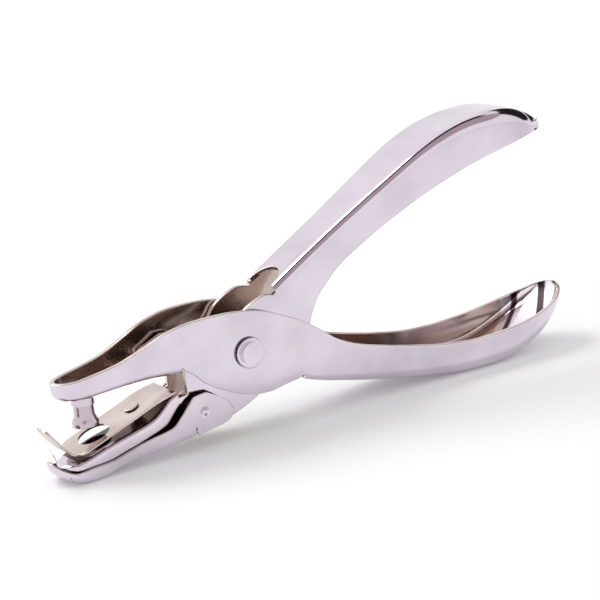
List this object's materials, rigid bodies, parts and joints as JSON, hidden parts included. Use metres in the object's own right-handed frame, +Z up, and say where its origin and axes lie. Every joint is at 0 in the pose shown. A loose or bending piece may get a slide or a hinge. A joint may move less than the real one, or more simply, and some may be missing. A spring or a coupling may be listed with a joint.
{
  "type": "single hole punch",
  "caption": "Plier-type single hole punch of pressed plated steel: two riveted levers, a punch pin, a stripper strip, a coil return spring and a hinged chip catcher.",
  "frame": {"origin": "the middle of the box's base, on the plane that the catcher's floor and the lower handle stand on", "axes": "+X from the jaws to the handles, Y across the levers and along the pivot rivet, +Z up"},
  "size_m": [0.1429, 0.021, 0.0613],
  "materials": {
    "nickel_plated_steel": "polished",
    "hardened_steel": "polished",
    "spring_steel": "satin"
  },
  "bodies": {
    "outer": {"outer_lever": "nickel_plated_steel", "pivot_rivet": "nickel_plated_steel", "pivot_sleeve": "spring_steel", "return_spring": "spring_steel", "punch_pin": "hardened_steel"},
    "inner": {"inner_lever": "nickel_plated_steel", "stripper_strip": "nickel_plated_steel", "strip_rivet": "nickel_plated_steel"},
    "catcher": {"chip_catcher": "nickel_plated_steel"}
  },
  "joints": [
    {"name": "jaw_close", "type": "hinge", "parent": "outer", "child": "inner", "pos_m": [-0.02085, 0, 0.0201], "axis": [0, 1, 0], "range_deg": [0, 12], "stiffness_Nm_per_rad": 1.5, "springref_deg": -20.05, "deforming": ["return_spring"]},
    {"name": "catcher_open", "type": "hinge", "parent": "inner", "child": "catcher", "pos_m": [-0.03375, 0, 0.0091], "axis": [0, -1, 0], "range_deg": [0, 16]}
  ]
}
